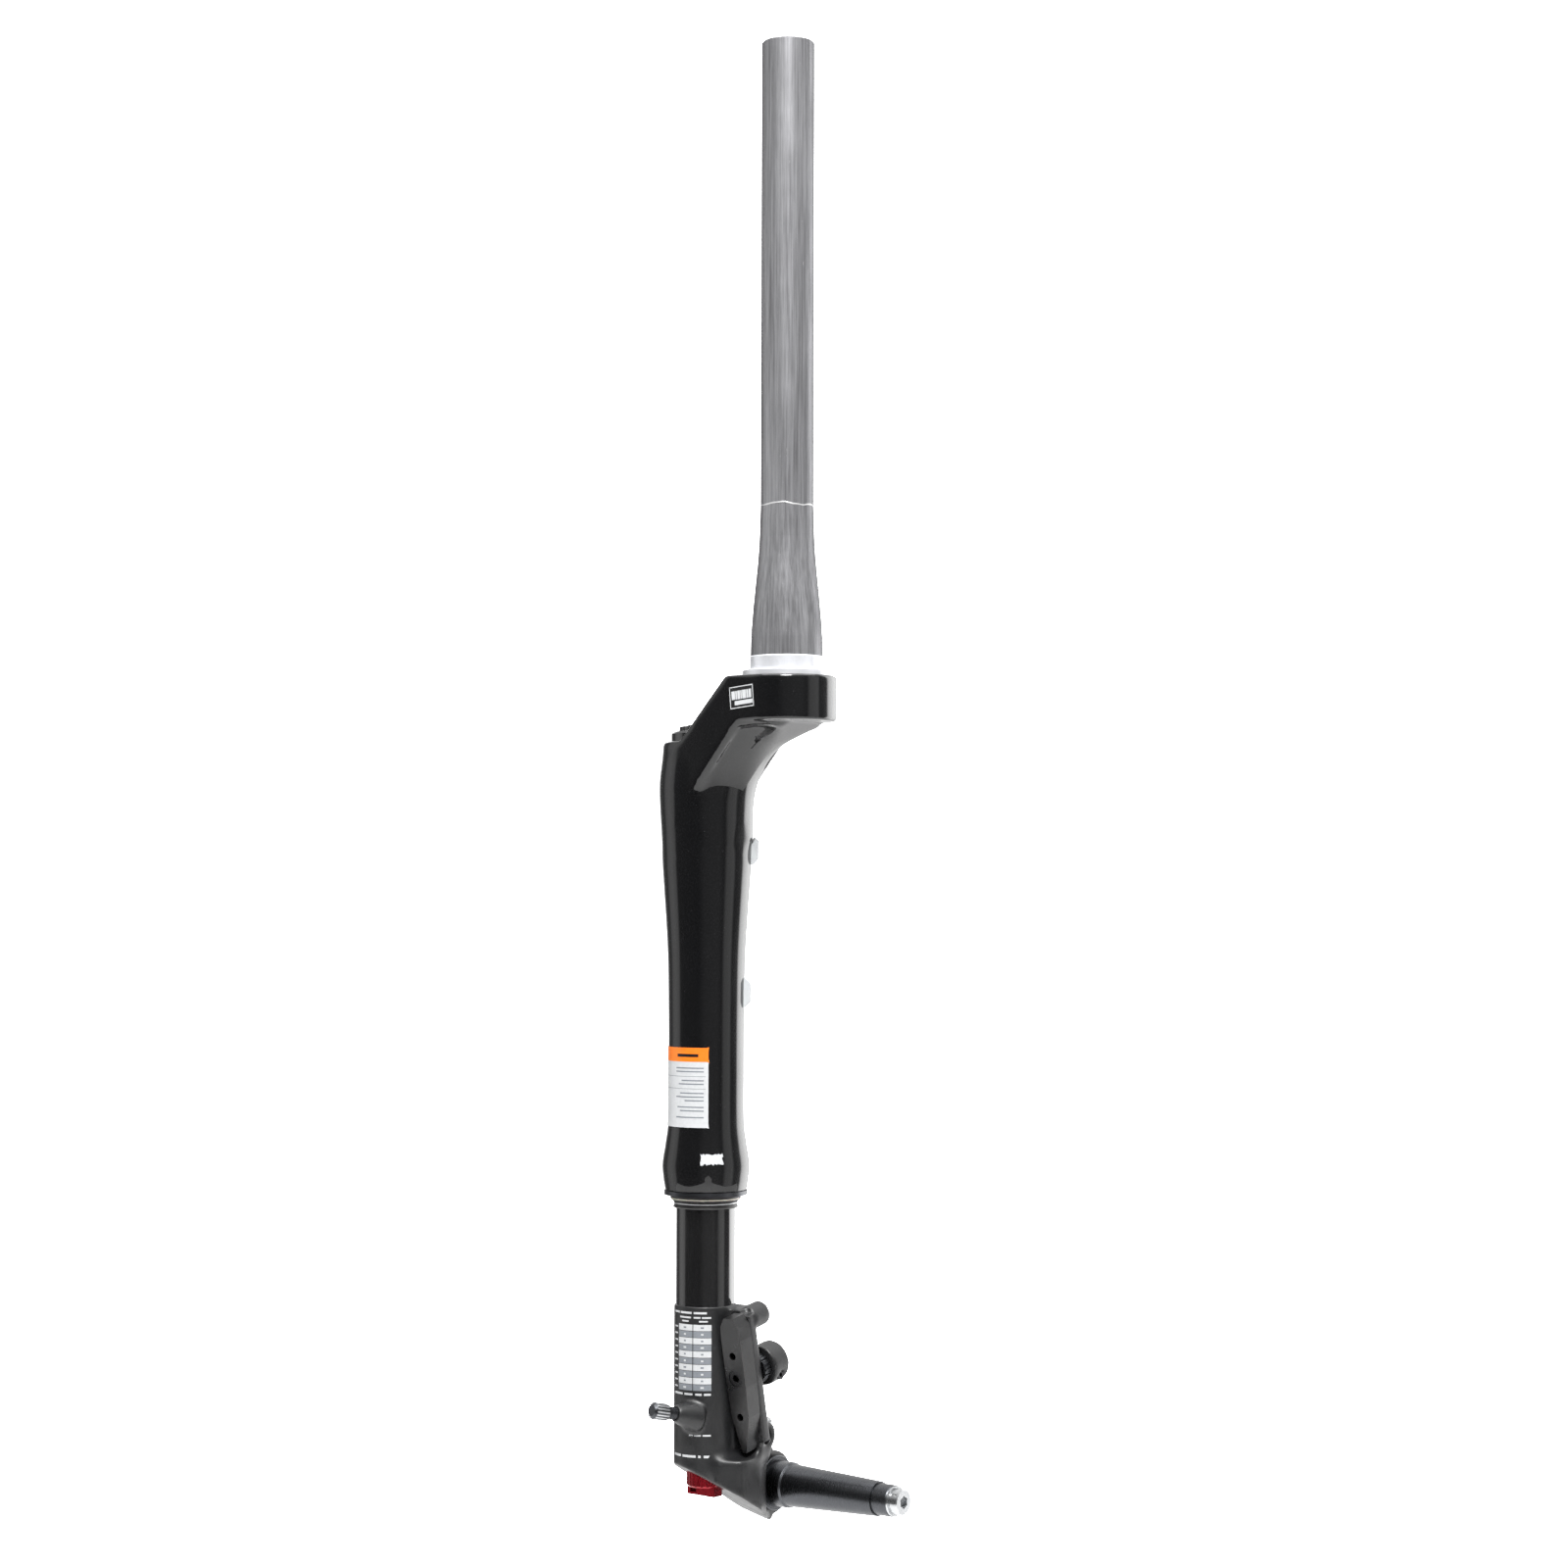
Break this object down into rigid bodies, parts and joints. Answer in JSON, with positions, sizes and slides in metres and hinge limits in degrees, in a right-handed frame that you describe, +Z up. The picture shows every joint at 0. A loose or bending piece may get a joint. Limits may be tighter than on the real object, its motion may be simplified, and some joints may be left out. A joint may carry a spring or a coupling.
{
  "type": "bicycle suspension fork",
  "caption": "Single-sided suspension fork: tapered steerer, one-piece crown and outer leg, sliding inner leg, side-mounted stub axle and flat brake mount.",
  "frame": {"origin": "on the steering axis, on the shoulder of the crown race seat", "axes": "+Z up along the steering axis, +X towards the leg (the rider's left), -Y to the front; the wheel lies in the plane X = 0"},
  "size_m": [0.1236, 0.111, 0.8082],
  "materials": {
    "raw_carbon": "gloss",
    "gloss_black_paint": "high gloss",
    "satin_black_alloy": "satin",
    "black_anodised": "gloss",
    "turned_alloy": "polished",
    "grey_alloy": "satin",
    "steel": "satin",
    "bronze": "satin",
    "black_rubber": "matte",
    "cream_plastic": "satin",
    "grey_foam": "matte",
    "pale_plastic": "satin",
    "red_anodised": "gloss"
  },
  "bodies": {
    "chassis": {"steerer_tube": "raw_carbon", "crown_race_seat": "turned_alloy", "crown_and_outer_leg": "gloss_black_paint", "top_cap": "black_anodised", "top_cap_oring": "black_rubber", "dial_detent_ball": "steel", "damper_cartridge": "turned_alloy", "compression_valve": "bronze", "floating_piston": "turned_alloy", "floating_piston_oring": "black_rubber", "shaft_seal_head": "turned_alloy", "shaft_seal": "black_rubber", "topout_bumper": "black_rubber", "air_piston": "turned_alloy", "air_piston_seal": "black_rubber", "outer_race_strips": "steel", "race_retaining_ring": "steel", "lower_bushing": "bronze", "foam_ring": "grey_foam", "seal_collar": "grey_alloy", "collar_oring": "black_rubber", "seal_retaining_ring": "cream_plastic", "wiper_seal": "black_rubber", "wiper_garter_spring": "steel", "hose_guides": "pale_plastic", "hose_guide_screws": "steel"},
    "lower_leg": {"inner_leg_tube": "black_anodised", "inner_race_strips": "steel", "lower_leg_casting": "satin_black_alloy", "axle_spindle": "grey_alloy", "axle_washer": "steel", "axle_bolt": "turned_alloy", "damper_shaft": "turned_alloy", "damper_piston": "bronze", "piston_glide_ring": "black_rubber", "piston_nut": "steel", "bottom_out_bumper": "black_rubber", "foot_bulkhead": "turned_alloy", "bulkhead_oring": "black_rubber", "foot_nut": "steel", "valve_body": "grey_alloy", "valve_core": "bronze", "brake_adapter": "satin_black_alloy", "brake_guide_pins": "steel", "brake_lock_bolt": "steel", "knurled_lock_nut": "steel", "brake_boss_screw": "steel"},
    "roller_train": {"roller_cages": "pale_plastic", "needle_rollers": "steel"},
    "lockout": {"lockout_dial": "black_anodised", "dial_screw": "steel", "lockout_spindle": "steel"},
    "rebound": {"rebound_knob": "red_anodised", "knob_grub_screw": "steel", "rebound_rod": "steel"},
    "cap_seal": {"valve_cap_gasket": "black_rubber"},
    "cap": {"valve_cap": "grey_alloy"}
  },
  "joints": [
    {"name": "leg_slide", "type": "slide", "parent": "chassis", "child": "lower_leg", "axis": [0, 0, 1], "range_m": [0, 0.04], "stiffness_N_per_m": 7000, "springref_m": -0.015},
    {"name": "roller_slide", "type": "slide", "parent": "chassis", "child": "roller_train", "axis": [0, 0, 1], "range_m": [0, 0.02]},
    {"name": "lockout_turn", "type": "hinge", "parent": "chassis", "child": "lockout", "pos_m": [0.055, 0, -0.03], "axis": [0, 0, 1], "range_deg": [0, 90]},
    {"name": "rebound_turn", "type": "hinge", "parent": "lower_leg", "child": "rebound", "pos_m": [0.055, 0, -0.436], "axis": [0, 0, 1], "range_deg": [0, 270]},
    {"name": "cap_advance", "type": "slide", "parent": "lower_leg", "child": "cap_seal", "axis": [0.2034, 0.9568, 0.2079], "range_m": [0, 0.00396]},
    {"name": "cap_turn", "type": "hinge", "parent": "cap_seal", "child": "cap", "pos_m": [0.0505, 0.0135, -0.4015], "axis": [0.2034, 0.9568, 0.2079], "range_deg": [0, 1800]}
  ],
  "couplings": [
    {"joint": "roller_slide", "follows": "leg_slide", "ratio": 0.5},
    {"joint": "cap_turn", "follows": "cap_advance", "rad_per_m": 7936.5}
  ]
}
